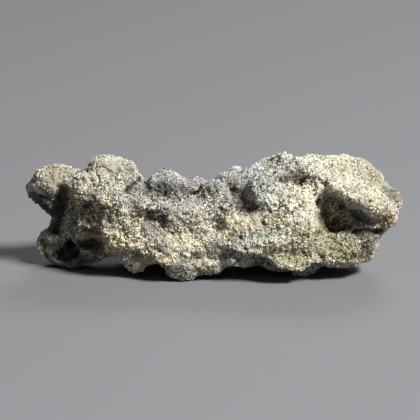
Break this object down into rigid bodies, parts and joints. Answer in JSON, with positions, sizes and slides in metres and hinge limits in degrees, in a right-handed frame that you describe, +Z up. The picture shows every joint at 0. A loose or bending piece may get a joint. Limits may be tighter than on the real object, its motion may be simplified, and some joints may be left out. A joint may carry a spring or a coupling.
{
  "type": "fulgurite",
  "caption": "Lumpy tube of lightning-fused sand, with a round mouth at its broken end and a channel torn open at the other.",
  "frame": {"origin": "the middle of the underside, on the level surface that the piece rests on", "axes": "+X along the tube, from the broken end with the round mouth to the end with the torn channel; +Y from the front, where both open, to the back; +Z up"},
  "size_m": [0.05, 0.0174, 0.0161],
  "materials": {
    "fused_sand": "rough, sandy crust of fused quartz grains with glassy glints"
  },
  "bodies": {
    "root": {"fulgurite": "fused_sand"}
  },
  "joints": []
}
